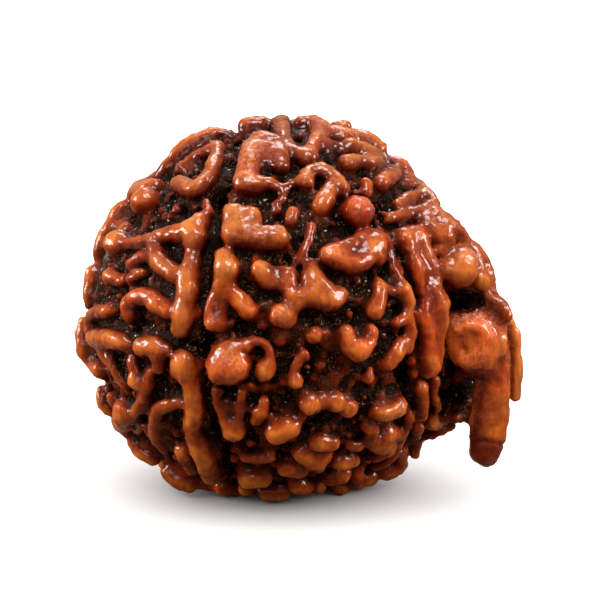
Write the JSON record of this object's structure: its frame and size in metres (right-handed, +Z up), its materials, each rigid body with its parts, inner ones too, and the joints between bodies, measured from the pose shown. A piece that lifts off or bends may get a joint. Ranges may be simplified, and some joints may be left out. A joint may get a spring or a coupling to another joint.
{
  "type": "rudraksha seed",
  "caption": "Deeply ridged, lobed natural seed with a raised net of rounded ridges, furrows from pole to pole and a hooked trunk-like outgrowth on one side, resting on a small flat spot.",
  "frame": {"origin": "middle of the bounding box's bottom, in the plane of the small flat spot that the seed rests on", "axes": "+Z up from pole to pole, +X towards the trunk-like outgrowth, -Y towards the side that the picture shows"},
  "size_m": [0.028, 0.0246, 0.0234],
  "materials": {
    "husk": "oiled and glossy on the ridges, near black and grainy in the valleys"
  },
  "bodies": {
    "root": {"rudraksha_seed": "husk"}
  },
  "joints": []
}
